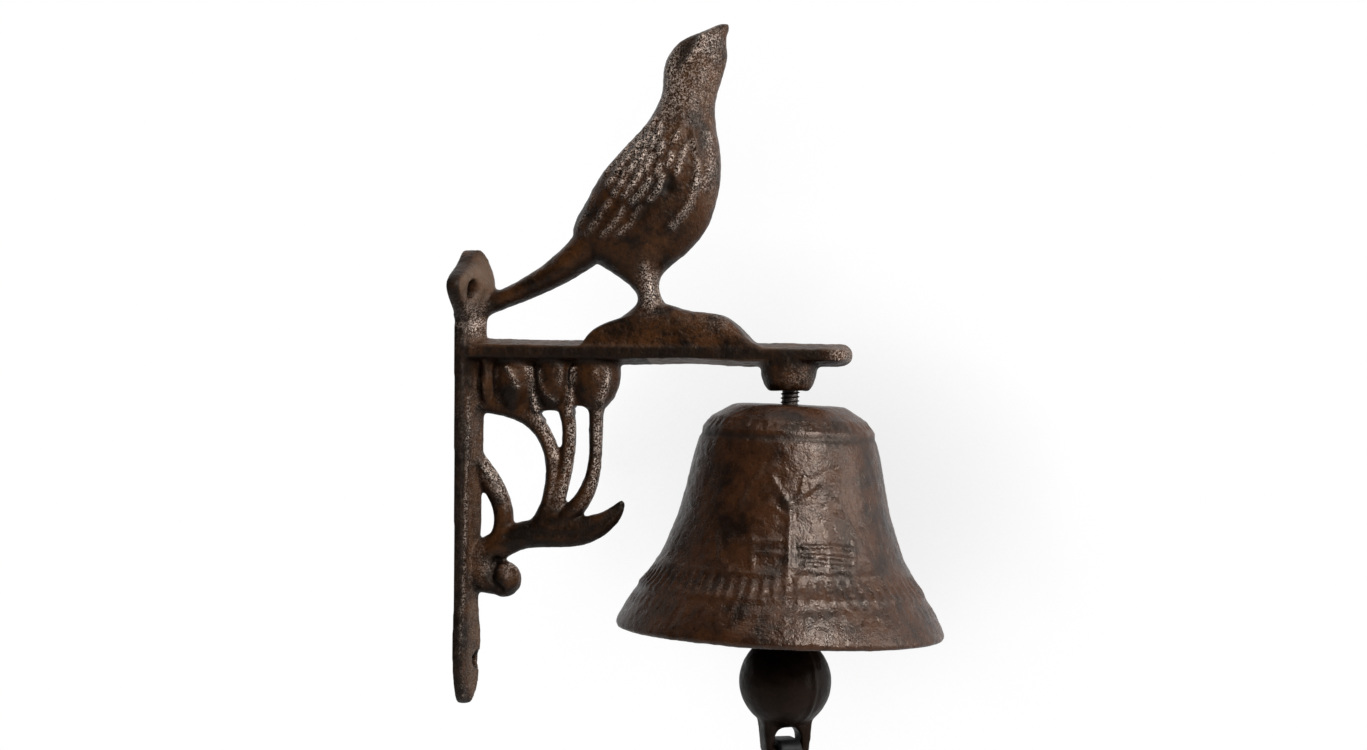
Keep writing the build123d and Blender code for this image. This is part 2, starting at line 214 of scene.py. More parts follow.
faint_feathers = [
    ((42.3, 47.6), (40.6, 42.7), (37.8, 37.8)), ((48.1, 44.9), (45.3, 40.7), (41.0, 35.8)),
    ((53.1, 42.9), (50.0, 38.7), (46.1, 35.1)), ((58.2, 43.0), (55.4, 38.8), (51.1, 35.2)),
]
feathers = ((short_feathers, 1.9, 1.0), (long_feathers, 2.0, 1.1), (faint_feathers, 2.2, 0.4))
lifts = np.zeros(len(places))
for lines, width, height in feathers:
    for line in lines:
        lifts = np.maximum(lifts, stroke(side_view, line, width, height))
breast = [(78.0, 66.0), (78.8, 61.0), (78.4, 55.0), (76.6, 49.5)]
cheek = [(76.0, 96.0), (74.8, 92.4), (72.7, 89.0), (69.9, 86.2)]
mound_rib = [(58.8, 25.6), (60.0, 17.3), (59.4, 14.5)]
for line, width, height in ((breast, 2.6, 0.35), (cheek, 2.0, 0.9), (mound_rib, 3.0, 0.5)):
    lifts = np.maximum(lifts, stroke(side_view, line, width, height))
hollows = [
    ([(71.9, 94.2), (70.0, 91.4), (68.6, 87.2)], 4.6, 0.6), ([(67.4, 52.4), (66.2, 48.6)], 4.0, 0.7),
    ([(61.4, 43.6), (58.0, 40.8)], 3.6, 0.4),
]
for line, width, deep in hollows:
    lifts -= stroke(side_view, line, width, deep)
lifts[places[:, 2] < 13.5] = 0
plumage_lifts = lifts * sideways
carve(bracket, "plumage", plumage_lifts)

# %% [markdown]
# Under the arm the stems start as ribs on the petals, with a groove along each side. The leaf
# has a fold along its middle, and the little scroll a hollow round its eye.
# %% Ribs on the scroll
ribs = [
    ([(22.6, -5.2), (23.4, -10.4), (24.1, -16.1), (25.6, -21.5)], 2.3, 1.3),
    ([(36.7, -5.2), (36.3, -8.6), (35.2, -12.8), (34.9, -19.0)], 2.3, 1.3),
    ([(47.3, -6.0), (47.0, -10.0), (45.3, -14.6), (44.0, -18.8)], 2.4, 0.8),
    ([(16.4, -5.2), (17.9, -7.6), (19.4, -10.8)], 1.8, 0.7),
    ([(26.4, -6.3), (26.6, -10.3), (28.1, -12.9), (31.4, -15.2)], 1.6, 0.5),
    ([(43.9, -5.6), (44.3, -8.6)], 1.6, 0.45), ([(33.0, -5.6), (32.6, -9.8)], 1.6, 0.4),
    ([(12.4, -6.0), (12.0, -12.0), (13.4, -15.4)], 1.8, 0.4),
]
places, side_view, sideways = from_the_side(bracket)
lifts = np.zeros(len(places))
for line, width, height in ribs:
    lifts = np.maximum(lifts, stroke(side_view, line, width, height))
lifts[places[:, 2] > -4.6] = 0
leaf_fold = [(15.2, -57.0), (22.3, -55.4), (30.6, -56.1), (38.9, -55.9), (44.7, -53.4), (49.4, -48.4)]
scroll_hollow = [(12.4, -64.4), (11.0, -67.9), (11.6, -71.3), (14.3, -73.4)]
lifts -= stroke(side_view, leaf_fold, 2.0, 0.5)
lifts -= stroke(side_view, scroll_hollow, 2.4, 1.4)
rib_lifts = lifts * sideways
carve(bracket, "ribs", rib_lifts)

# %% [markdown]
# The bell's picture is worn almost away: a bare tree between two low fences, twice round. On
# a bell a stroke is drawn by its turn in degrees and its height, so the vertices are unrolled
# first: turn times radius is the distance round, and the height is measured down the axis.
# %% Picture, teeth and rays of the bell
axis = Vector(hinges["bell_turn"]["axis"]).normalized()
hang = Vector(hinges["bell_turn"]["pos_m"])
ahead = Vector((0, -1, 0))
aside = ahead.cross(axis).normalized() * -1
local = vertex_rows(bell, "co") - np.array(hang)
height = local @ np.array(axis) / MM
across = np.stack([local @ np.array(ahead), local @ np.array(aside)], axis=1) / MM
radius = np.linalg.norm(across, axis=1)
turn = np.degrees(np.arctan2(across[:, 1], across[:, 0]))
crown = height.max()
down = height - crown
off_axis = local - np.outer(local @ np.array(axis), np.array(axis))
outer = (vertex_rows(bell, "normal") * off_axis).sum(axis=1) > 0


def unrolled(middle):
    around = (turn - middle + 180) % 360 - 180
    return np.stack([np.radians(around) * radius, down], axis=1)


def drawn(line, at):
    return [(math.radians(degrees) * at, depth) for degrees, depth in line]


def near_height(middle, reach):
    return np.clip(1 - np.abs(down - middle) / reach, 0, 1)


tree = [
    ([(0, -47.0), (0, -36.8), (0, -28.4)], 2.4, 0.75), ([(0, -28.4), (6, -25.6), (14, -22.4)], 1.7, 0.6),
    ([(0, -29.0), (-6, -24.4), (-10, -21.0)], 1.7, 0.6), ([(5, -26.0), (7, -20.5)], 1.2, 0.4),
    ([(-4, -25.4), (-15, -24.0)], 1.2, 0.4), ([(0, -33.0), (-7, -30.0)], 1.2, 0.4),
    ([(7, -40.4), (22, -40.2), (37, -40.9)], 1.3, 0.6), ([(7, -42.8), (21, -43.1), (37, -43.7)], 1.3, 0.6),
    ([(8, -45.2), (20, -45.4), (37, -46.1)], 1.3, 0.5), ([(37, -38.6), (37, -47.1)], 1.6, 0.55),
    ([(22, -39.4), (22, -46.6)], 1.4, 0.4), ([(-22, -39.5), (-3, -38.9)], 1.3, 0.5),
    ([(-20, -42.6), (-3, -42.5)], 1.3, 0.5), ([(-20, -38.5), (-19, -46.6)], 1.6, 0.5),
    ([(-39, -37.8), (-37, -46.0)], 1.6, 0.45), ([(-39, -39.8), (-21, -39.6)], 1.2, 0.4),
    ([(25, -24.6), (31, -30.7), (38, -36.9)], 1.6, 0.35),
    ([(-27, -29.8), (-22, -23.6), (-15, -18.3), (-4, -17.4)], 1.8, 0.4),
]
picture_radius, picture_height = 31.5, 0.8
lifts = np.zeros(len(down))
for middle in (10, 190):
    flat = unrolled(middle)
    for line, width, lift in tree:
        lifts = np.maximum(lifts, stroke(flat, drawn(line, picture_radius), width, lift * picture_height))
    lifts -= stroke(flat, drawn([(-6, -17.2), (4, -16.4), (10, -19.0)], 29), 3.4, 0.35)
teeth_round, rays_round = 76, 48
band = near_height(-52.6, 3.6) ** 0.5
teeth = np.clip(np.cos(np.radians(turn * teeth_round)) * 1.5, 0, 1) * band * 0.42
rays = np.clip(np.cos(np.radians(turn * rays_round)) * 1.4, 0, 1) * near_height(-5.9, 1.4) * 0.3
fringe = np.clip(np.cos(np.radians(turn * teeth_round + 90)), 0, 1) * near_height(-59.4, 2.6) * 0.2
lifts = np.maximum(lifts, teeth + rays + fringe)
lifts -= np.exp(-((down + 9.4) / 0.9) ** 2) * 0.35
for middle, proud in ((-4.4, 0.2), (-7.4, 0.12), (-48.5, 0.16), (-55.2, 0.1)):
    lifts += proud * np.exp(-((down - middle) / 0.6) ** 2)
bell_lifts = lifts * outer
carve(bell, "picture", bell_lifts)

# %% [markdown]
# Where the two halves of its mould met, the clapper's ball keeps a thin fin.
# %% Seam of the clapper
pivot = Vector(hinges["clapper_swing"]["pos_m"])
local = (vertex_rows(clapper, "co") - np.array(pivot)) / MM
seam = math.radians(48)
off_seam = np.abs(local[:, 0] * math.cos(seam) + local[:, 1] * math.sin(seam))
on_ball = np.clip((-local[:, 2] - 33) / 4, 0, 1) * np.clip((local[:, 2] + 61) / 4, 0, 1)
carve(clapper, "seam", 0.35 * np.exp(-(off_seam / 0.8) ** 2) * on_ball)

# %% [markdown]
# Painted values per vertex guide the lacquer later: how far a place is worn bright or carries a
# painted highlight, and how far it carries painted shade. Raised feathers, ribs, stems and the
# bird's back get wear and painted highlights. Grooves, the side of the arm, the leaf and the
# underside of the petals get painted shade. A third value paints a lighter sheen on faces turned
# to the light, as on the front of the plate and under the arm.
# %% Paint worn places, painted highlights and painted shade
def patch(places, middle, reach):
    return np.exp(-(((places - np.array(middle)) / np.array(reach)) ** 2).sum(axis=1))


x, z = side_view[:, 0], side_view[:, 1]
normals = vertex_rows(bracket, "normal")
# Raised feathers and ribs worn bright, with painted highlights, and painted highlight patches on the back,
# head, neck, breast, mound rib and arm's end.
wear_and_highlight = np.clip(plumage_lifts / 0.7, 0, 1) + np.clip(rib_lifts / 0.9, 0, 1)
wear_and_highlight += 0.9 * patch(side_view, (53, 63), (9, 8)) + 1.2 * patch(side_view, (64, 90), (4, 9))
wear_and_highlight += 0.5 * patch(side_view, (77.5, 96), (3, 8)) + 0.7 * patch(side_view, (60.5, 19), (3.5, 6))
wear_and_highlight += 0.6 * patch(side_view, (65, 78), (8, 8)) + 0.22 * patch(side_view, (79, 57), (2.5, 14))
wear_and_highlight += 0.25 * patch(side_view, (106, -8), (4, 4)) + 0.8 * patch(side_view, (119, -2), (3.5, 3))
wear_and_highlight += 0.2 * patch(side_view, (84, 10), (10, 4)) + 0.15 * patch(side_view, (17, -66), (4, 4))
# Painted highlights on the sides of the stems turned to the window.
stems = np.clip((-18.5 - z) / 4, 0, 1) * np.clip((z + 50) / 8, 0, 1) * (x > 8)
wear_and_highlight += 0.75 * stems * np.clip(normals[:, 0] * 1.2 + 0.35, 0, 1)
# A painted highlight on the plate's neck, and faint painted specks on its lower front.
wear_and_highlight += 1.3 * patch(side_view, (3, 9), (6, 5)) + 0.12 * ((x < 9) & (z < -8))
# Painted glints along the plate's near front edge.
glints = stroke(side_view, [(4.2, -14), (2.8, -76), (2.5, -106)], 0.9, 1.0)
wear_and_highlight += 0.9 * glints * np.clip(np.abs(normals[:, 1]) * 2, 0, 1)
# A painted highlight strip along the wing edge, and painted highlights on the head and the scroll's ball.
wing = [(73.6, 63.0), (75.4, 56.0), (75.0, 51.0), (73.6, 46.0), (71.2, 41.5), (67.5, 37.6)]
wear_and_highlight += stroke(side_view, wing, 2.4, 0.8) + 0.35 * patch(side_view, (76, 86), (7, 12))
wear_and_highlight += (0.6 * patch(side_view, (17.6, -65.5), (2.2, 2.2))
           + 0.7 * patch(side_view, (10.0, -66.6), (1.4, 2.4)))
wear_and_highlight = np.clip(wear_and_highlight, 0, 1) + 0.6 * patch(side_view, (64.5, 86), (2.6, 12))
# Painted shade in the sunk grooves, on the arm's side, the leaf, the undersides, the faces turned from the
# window, the head's crown and the plate's sides.
dark = np.clip(-plumage_lifts / 0.7, 0, 1) + np.clip(-rib_lifts / 0.4, 0, 1)
on_side = np.clip(np.abs(normals[:, 1]) * 2 - 0.8, 0, 1)
arm_side = on_side * (x > 9) * np.clip((z + 5) / 2, 0, 1) * np.clip((2.2 - z) / 1.5, 0, 1)
dark += 1.2 * arm_side * np.clip((117 - x) / 6, 0, 1)
dark += 0.8 * patch(side_view, (40, -55), (16, 6)) + 0.9 * patch(side_view, (50, -47), (4, 5))
dark += 0.8 * np.clip(-normals[:, 2] * 1.6 - 0.4, 0, 1) + 0.5 * patch(side_view, (66, 40), (10, 5))
dark += 0.9 * np.clip(-normals[:, 0] * 1.5 - 0.5, 0, 1) * (x > 10) * (z < 0)
dark += stroke(side_view, [(66.8, 93.0), (70.5, 96.0), (76.0, 97.2)], 3.0, 0.7)
dark += (1.2 * np.clip(np.abs(normals[:, 1]) * 2 - 0.5, 0, 1) * np.clip(5.2 - x, 0, 1)
         * (np.abs(places[:, 1]) > 5) + 0.8 * patch(side_view, (12, -68), (2.5, 6)))
# A painted sheen on the plate's front turned to the window, on the arm's underside and on its top.
front = np.clip(normals[:, 0] * 1.6 - 0.3, 0, 1) * (x < 12)
painted_sheen = front * (0.1 + 0.38 * patch(side_view, (8, 22), (9, 9)) + 0.22 * (z < -77)) * np.clip(x - 3.6, 0, 1)
painted_sheen += 0.8 * np.clip(-normals[:, 2] * 1.6 - 0.2, 0, 1) * (z < -2) * (z > -6.5) * (x > 60) * (x < 97)
painted_sheen += 0.18 * np.clip(normals[:, 2] * 1.6 - 0.4, 0, 1) * (z < 5) * (z > 0) * (x > 8)
painted_sheen = np.clip(painted_sheen, 0, 1)
paint(bracket, "wear_and_highlight", wear_and_highlight)
paint(bracket, "dark", np.clip(dark * (1 - painted_sheen), 0, 1))
paint(bracket, "painted_sheen", painted_sheen)
# The bell's raised lines are worn lighter, and its sunk lines and the groove under the shoulder ring carry
# painted shade.
paint(bell, "wear_and_highlight", 0.5 * np.clip(bell_lifts / 0.5, 0, 1))
groove_shade = 0.4 * patch(np.stack([down], axis=1), (-9.6,), (1.2,))
paint(bell, "dark", np.clip(np.clip(-bell_lifts / 0.4, 0, 1) + groove_shade, 0, 1))
for piece, names in ((bell, ("painted_sheen",)), (clapper, ("wear_and_highlight", "dark", "painted_sheen"))):
    for name in names:
        paint(piece, name, np.zeros(len(piece.data.vertices)))

# %% [markdown]
# Loose sand also leaves a surface of low lumps. A Displace modifier with a Clouds texture
# lifts every casting by a tenth or two of a millimetre, which breaks up the reflections. The
# lumps fade out where the casting meets its own box, so the plate's back stays flat on the
# wall and nothing grows past the real size.
# %% Lumps of the sand mould
def inside_box(piece, node, fade=1.5):
    low, high = (np.array(corner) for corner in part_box(node))
    places = vertex_rows(piece, "co")
    room = np.minimum(places - low, high - places).min(axis=1) / MM / fade
    group = piece.vertex_groups.new(name="inside_box")
    group.add(np.nonzero(room >= 1)[0].tolist(), 1.0, "REPLACE")
    for index in np.nonzero((room > 0) & (room < 1))[0]:
        group.add([int(index)], float(room[index]), "REPLACE")


def raise_lumps(piece, name, grain, height):
    clouds = bpy.data.textures.new(name, "CLOUDS")
    clouds.noise_scale = grain * MM
    clouds.noise_depth = 2
    apply_modifier(piece, "DISPLACE", name, texture=clouds, texture_coords="LOCAL", mid_level=0.5,
                   strength=height * MM, vertex_group="inside_box")


for piece, node, coarse, fine in ((bracket, "bracket", 0.45, 0.3), (bell, "bell", 0.5, 0.35),
                                  (clapper, "clapper", 0.3, 0.2)):
    inside_box(piece, node)
    raise_lumps(piece, piece.name + "_waves", 9, coarse)
    raise_lumps(piece, piece.name + "_lumps", 2.2, fine)

# %% [markdown]
# ## The eyebolt
#
# The CAD bolt is plain. A real one has a rolled thread, which shows between boss and bell. A
# Screw modifier winds a small triangle up the axis, which is what a die does. The core is a
# cylinder and the eye a bent rod, so a torus. The bolt is built upright at the origin, and a
# matrix then leans it as the bell hangs.
# %% Wind the thread, add the core and the eye
thread_pitch, crest_radius, core_radius, tooth = 1.25, 2.95, 2.42, 0.7
upright = axis.to_track_quat("Z", "Y").to_matrix().to_4x4()
hang_matrix = Matrix.Translation(hang) @ upright
eye_radius, eye_wire = 6.0, 2.0
eye_middle = Vector(hinges["link_swing"]["pos_m"]) + Vector((0, 0, eye_radius * MM))
shank_low = eye_radius * MM - (hang - eye_middle).length
shank_top = 9.4 * MM

bpy.ops.mesh.primitive_circle_add(vertices=3, radius=tooth * MM, fill_type="NOTHING",
                                  location=((crest_radius - tooth) * MM, 0, shank_low + 3 * MM),
                                  rotation=(math.radians(90), math.radians(90), 0))
thread = bpy.context.active_object
settle(thread)
turns = int((shank_top - shank_low - 4 * MM) / (thread_pitch * MM))
apply_modifier(thread, "SCREW", "wound", angle=math.radians(360), screw_offset=thread_pitch * MM,
               iterations=turns, steps=24, render_steps=24, use_merge_vertices=True)
bpy.ops.object.mode_set(mode="EDIT")
bpy.ops.mesh.select_all(action="SELECT")
bpy.ops.mesh.fill_holes(sides=3)
bpy.ops.mesh.normals_make_consistent(inside=False)
bpy.ops.object.mode_set(mode="OBJECT")
bpy.ops.mesh.primitive_cylinder_add(vertices=32, radius=core_radius * MM, depth=shank_top - shank_low,
                                    location=(0, 0, (shank_top + shank_low) / 2))
shank = bpy.context.active_object
pick(shank)
bpy.ops.object.transform_apply(location=True, rotation=True, scale=True)
for part in (thread, shank):
    settle(part, hang_matrix)
bpy.ops.mesh.primitive_torus_add(major_radius=eye_radius * MM, minor_radius=eye_wire * MM,
                                 major_segments=48, minor_segments=20, location=eye_middle,
                                 rotation=(math.radians(90), 0, 0))
eye = bpy.context.active_object
settle(eye)
pick(thread, shank, eye)
bpy.ops.object.join()
eyebolt = thread
eyebolt.name = eyebolt.data.name = "threaded_eyebolt"
bpy.ops.object.shade_smooth_by_angle(angle=math.radians(40))
take_up(eyebolt, "eyebolt", "frame")
print("thread of", turns, "turns")

# %% [markdown]
# ## The pull
#
# The pull is one strip of black leather through the clapper's lug, with both ends hanging
# together. A strap bent by hand is a flat strip that follows a line, so a curve is drawn in
# side view, given the strap's width by Extrude, and turned into a mesh. It is narrowed where
# it is pinched in the hole, then made as thick as leather by Solidify, with its edges rounded.
# %% Bend and cut the strap
low_pull, high_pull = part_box("pull_strap")
strap_bottom, strap_top = low_pull.z / MM, high_pull.z / MM
thick, width, waist = 2.8, 12.0, 6.6
lug_turn = math.radians(25)
crest = strap_top - thick / 2
lug_bottom = strap_top - 9.5
close, side = thick / 2 + 0.1, 5.7
join, turn_off = lug_bottom - 18, lug_bottom - 3
route = [
    (close, strap_bottom), (close, join - 3.3), (close, join), (close + 0.89, join + 3.18),
    (side - 0.89, turn_off - 3.18), (side, turn_off), (side, turn_off + 3.3), (side, crest - 4.1),
    (side, crest), (side - 4.1, crest),
]
route += [(-x, z) for x, z in reversed(route)]
line = bpy.data.curves.new("pull_line", "CURVE")
line.dimensions, line.resolution_u = "2D", 6
spline = line.splines.new("NURBS")
spline.points.add(len(route) - 1)
for point, (x, z) in zip(spline.points, route):
    point.co = (x * MM, z * MM, 0, 1)
spline.order_u, spline.use_endpoint_u = 3, True
line.extrude = width / 2 * MM
pull = bpy.data.objects.new("pull_leather", line)
bpy.context.scene.collection.objects.link(pull)
pick(pull)
bpy.ops.object.convert(target="MESH")
pull.data.name = "pull_leather"
for vertex in pull.data.vertices:
    below = crest - vertex.co.y / MM
    vertex.co.z *= (waist + (width - waist) * min(1, max(0, (below - thick / 2) / 4.6))) / width
apply_modifier(pull, "SOLIDIFY", "leather_thickness", thickness=thick * MM, offset=0, use_even_offset=True)
apply_modifier(pull, "BEVEL", "rubbed_edges", width=0.5 * MM, segments=3, limit_method="ANGLE",
               angle_limit=math.radians(50))
apply_modifier(pull, "SUBSURF", "smooth_bends", levels=1, render_levels=1)
settle(pull, Matrix((
    (-math.sin(lug_turn), 0, math.cos(lug_turn), pivot.x),
    (math.cos(lug_turn), 0, math.sin(lug_turn), 0), (0, 1, 0, 0), (0, 0, 0, 1))))
pick(pull)
bpy.ops.object.mode_set(mode="EDIT")
bpy.ops.mesh.select_all(action="SELECT")
bpy.ops.mesh.normals_make_consistent(inside=False)
bpy.ops.object.mode_set(mode="OBJECT")
bpy.ops.object.shade_smooth()
take_up(pull, "pull_strap", "clapper")

# %% [markdown]
# ## The lacquered iron
#
# The finish is a thin brown lacquer over dark iron. Its hollows and undersides carry painted shade,
# and its grain of sand gives sparkling points in the light, with painted bright specks added. Noise
# on Object coordinates makes the tone, the gloss and the grain. The painted values say where the
# iron is worn bright and carries painted highlights, where painted shade falls and where a painted
# sheen lightens it.
# %% Iron under brown lacquer
# The lighter tone of the painted sheen, and a warm tint for the reflections.
sheen_tone, warm_tint = (0.180, 0.116, 0.078, 1), (1, 0.83, 0.72, 1)


def add_node(tree, kind, **inputs):
    node = tree.nodes.new(kind)
    for key, value in inputs.items():
        if isinstance(value, bpy.types.NodeSocket):
            tree.links.new(value, node.inputs[key])
        else:
            node.inputs[key].default_value = value
    return node


def blended(tree, share, first, second):
    mix = tree.nodes.new("ShaderNodeMix")
    mix.data_type = "RGBA"
    for socket, value in zip((mix.inputs[0], mix.inputs[6], mix.inputs[7]), (share, first, second)):
        if isinstance(value, bpy.types.NodeSocket):
            tree.links.new(value, socket)
        else:
            socket.default_value = value
    return mix.outputs[2]


def span(tree, value, low, high, to_low=0.0, to_high=1.0):
    node = add_node(tree, "ShaderNodeMapRange", Value=value)
    for key, number in (("From Min", low), ("From Max", high), ("To Min", to_low), ("To Max", to_high)):
        node.inputs[key].default_value = number
    return node.outputs["Result"]


def new_material(name):
    material = bpy.data.materials.new(name)
    material.use_nodes = True
    tree = material.node_tree
    tree.nodes.clear()
    skin = tree.nodes.new("ShaderNodeBsdfPrincipled")
    end = tree.nodes.new("ShaderNodeOutputMaterial")
    tree.links.new(skin.outputs["BSDF"], end.inputs["Surface"])
    return material, tree, skin, tree.nodes.new("ShaderNodeTexCoord").outputs["Object"]


def painted(tree, name):
    attribute = tree.nodes.new("ShaderNodeAttribute")
    attribute.attribute_name = name
    return attribute.outputs["Fac"]


def product(tree, first, second, kind="MULTIPLY"):
    node = tree.nodes.new("ShaderNodeMath")
    node.operation = kind
    for socket, value in zip(node.inputs, (first, second)):
        if isinstance(value, bpy.types.NodeSocket):
            tree.links.new(value, socket)
        else:
            socket.default_value = value
    return node.outputs[0]


def lacquered_iron(name, dark, brown, wear_and_highlight, gloss, sandy, lumpy, shine, blotchy):
    material, tree, skin, place = new_material(name)
    clouds = add_node(tree, "ShaderNodeTexNoise", Vector=place, Scale=110.0, Detail=6.0, Roughness=0.62)
    lumps = add_node(tree, "ShaderNodeTexNoise", Vector=place, Scale=420.0, Detail=3.0, Roughness=0.55)
    sand = add_node(tree, "ShaderNodeTexNoise", Vector=place, Scale=1300.0, Detail=2.0, Roughness=0.6)
    specks = add_node(tree, "ShaderNodeTexNoise", Vector=place, Scale=1900.0, Detail=2.0, Roughness=0.7)
    tone = blended(tree, span(tree, clouds.outputs["Fac"], 0.36, 0.58), dark, brown)
    blots = add_node(tree, "ShaderNodeTexNoise", Vector=place, Scale=620.0, Detail=5.0, Roughness=0.72)
    tone = blended(tree, span(tree, blots.outputs["Fac"], 0.52, 0.64, 0.0, blotchy), tone, dark)
    # Painted sheen: a lighter tone where the sheen value is set.
    sheen_share = product(tree, span(tree, clouds.outputs["Fac"], 0.3, 0.5, 0.7, 1.0), painted(tree, "painted_sheen"))
    tone = blended(tree, sheen_share, tone, sheen_tone)
    # Painted highlights: bright specks where the iron is worn and lit, with dark specks between them.
    bright = product(tree, span(tree, specks.outputs["Fac"], 0.47, 0.64), painted(tree, "wear_and_highlight"))
    bright = product(tree, bright, span(tree, lumps.outputs["Fac"], 0.36, 0.52, 0.25, 1.0))
    between = product(tree, span(tree, specks.outputs["Fac"], 0.48, 0.38, 0.0, 0.9), painted(tree, "wear_and_highlight"))
    tone = blended(tree, between, tone, dark)
    tone = blended(tree, bright, tone, wear_and_highlight)
    # Painted shade: the dark tone where the dark value is set, broken up by the lumps.
    shade_share = product(tree, span(tree, lumps.outputs["Fac"], 0.3, 0.6, 1.0, 0.75), painted(tree, "dark"))
    tone = blended(tree, shade_share, tone, dark)
    tree.links.new(tone, skin.inputs["Base Color"])
    worn = product(tree, product(tree, painted(tree, "wear_and_highlight"), 0.08),
                   product(tree, painted(tree, "dark"), 0.15), "SUBTRACT")
    sheen = span(tree, lumps.outputs["Fac"], 0.3, 0.7, gloss, gloss + 0.16)
    tree.links.new(product(tree, sheen, worn, "SUBTRACT"), skin.inputs["Roughness"])
    fine = add_node(tree, "ShaderNodeBump", Height=sand.outputs["Fac"], Strength=sandy, Distance=0.0003)
    rough = add_node(tree, "ShaderNodeBump", Height=lumps.outputs["Fac"], Strength=lumpy, Distance=0.0007,
                     Normal=fine.outputs["Normal"])
    tree.links.new(rough.outputs["Normal"], skin.inputs["Normal"])
    skin.inputs["Specular IOR Level"].default_value = shine
    skin.inputs["Specular Tint"].default_value = warm_tint
    return material


bracket_iron = lacquered_iron(
    "bracket_lacquer", dark=(0.0045, 0.0024, 0.0014, 1), brown=(0.052, 0.0195, 0.0062, 1),
    wear_and_highlight=(0.70, 0.56, 0.47, 1), gloss=0.25, sandy=0.8, lumpy=0.6, shine=0.18, blotchy=0.8)
bell_iron = lacquered_iron(
    "bell_lacquer", dark=(0.008, 0.0030, 0.0012, 1), brown=(0.046, 0.0162, 0.0056, 1),
    wear_and_highlight=(0.10, 0.072, 0.055, 1), gloss=0.23, sandy=0.60, lumpy=0.34, shine=0.45, blotchy=0.5)
clapper_iron = lacquered_iron(
    "clapper_lacquer", dark=(0.0045, 0.0024, 0.0014, 1), brown=(0.014, 0.0068, 0.004, 1),
    wear_and_highlight=(0.06, 0.04, 0.03, 1), gloss=0.32, sandy=0.3, lumpy=0.3, shine=0.12, blotchy=0.3)
for piece, material in ((bracket, bracket_iron), (bell, bell_iron), (clapper, clapper_iron)):
    piece.data.materials.append(material)

# %% [markdown]
# The bolt, link, nut and washer are dull steel that has gone dark. Fine noise stands for the
# drawn and turned surface, and a little brown for the first rust.
# %% Darkened steel
def dark_steel(name, steel, rust, gloss):
    material, tree, skin, place = new_material(name)
    marks = add_node(tree, "ShaderNodeTexNoise", Vector=place, Scale=900.0, Detail=3.0, Roughness=0.6)
    stain = add_node(tree, "ShaderNodeTexNoise", Vector=place, Scale=260.0, Detail=4.0, Roughness=0.6)
    tone = blended(tree, span(tree, stain.outputs["Fac"], 0.5, 0.68), steel, rust)
    tree.links.new(tone, skin.inputs["Base Color"])
    tree.links.new(span(tree, marks.outputs["Fac"], 0.3, 0.7, gloss, gloss + 0.25), skin.inputs["Roughness"])
    bump = add_node(tree, "ShaderNodeBump", Height=marks.outputs["Fac"], Strength=0.35, Distance=0.0002)
    tree.links.new(bump.outputs["Normal"], skin.inputs["Normal"])
    skin.inputs["Metallic"].default_value = 0.85
    return material


steel = dark_steel("darkened_steel", steel=(0.085, 0.075, 0.068, 1), rust=(0.04, 0.022, 0.014, 1), gloss=0.26)
inner_parts = [frame["nodes"][node] for node in ("bell_nut", "bell_washer", "clapper_link")]
for piece in [eyebolt] + inner_parts:
    piece.data.materials.clear()
    piece.data.materials.append(steel)

# %% [markdown]
# The leather is dyed black and rubbed smooth. Its grain is a small cell pattern in the bump.
# %% Black leather
leather, tree, skin, place = new_material("black_leather")
cells = add_node(tree, "ShaderNodeTexVoronoi", Vector=place, Scale=1400.0)
creases = add_node(tree, "ShaderNodeTexNoise", Vector=place, Scale=160.0, Detail=5.0, Roughness=0.6)
tree.links.new(blended(tree, span(tree, creases.outputs["Fac"], 0.35, 0.7), (0.004, 0.004, 0.0045, 1),
                       (0.011, 0.010, 0.010, 1)), skin.inputs["Base Color"])
tree.links.new(span(tree, creases.outputs["Fac"], 0.3, 0.7, 0.42, 0.62), skin.inputs["Roughness"])
skin.inputs["Specular IOR Level"].default_value = 0.3
grain = add_node(tree, "ShaderNodeBump", Height=cells.outputs["Distance"], Strength=0.4, Distance=0.00012)
folds = add_node(tree, "ShaderNodeBump", Height=creases.outputs["Fac"], Strength=0.35, Distance=0.0006,
                 Normal=grain.outputs["Normal"])
tree.links.new(folds.outputs["Normal"], skin.inputs["Normal"])
pull.data.materials.append(leather)

# %% [markdown]
# ## Light, floor and camera
#
# The photograph was taken by a window on the right, against white. Three softboxes light the
# bell: the strongest stands for the window, one stands at the side, and a weak one above
# fills the tops. The camera stands where the outline of the arm, the plate and the bell's rim
# agree with the photograph.
# %% Camera at the photograph's place
def aim_camera(turn, rise, roll, target, distance, lens):
    turn, rise, roll = (math.radians(v) for v in (turn, rise, roll))
    back = Vector((math.sin(turn) * math.cos(rise), -math.cos(turn) * math.cos(rise), math.sin(rise)))
    right = Vector((math.cos(turn), math.sin(turn), 0))
    tilted = right * math.cos(roll) + back.cross(right) * math.sin(roll)
    above = back.cross(tilted)
    camera = bpy.data.objects.new("camera", bpy.data.cameras.new("camera"))
    bpy.context.scene.collection.objects.link(camera)
    spot = Vector(target) * MM + back * distance * MM
    camera.matrix_world = Matrix((
        (tilted.x, above.x, back.x, spot.x), (tilted.y, above.y, back.y, spot.y),
        (tilted.z, above.z, back.z, spot.z), (0, 0, 0, 1)))
    camera.data.lens, camera.data.sensor_width = lens, 36
    camera.data.clip_start, camera.data.clip_end = 0.01, 20
    bpy.context.scene.camera = camera
    print("camera at", [round(v, 3) for v in spot])


aim_camera(turn=10.0, rise=-0.16, roll=0.45, target=(69.86, 0, -7.03), distance=750.0, lens=64.8)

# %% Lamps
lit_spot = Vector((0.07, 0, -0.03))


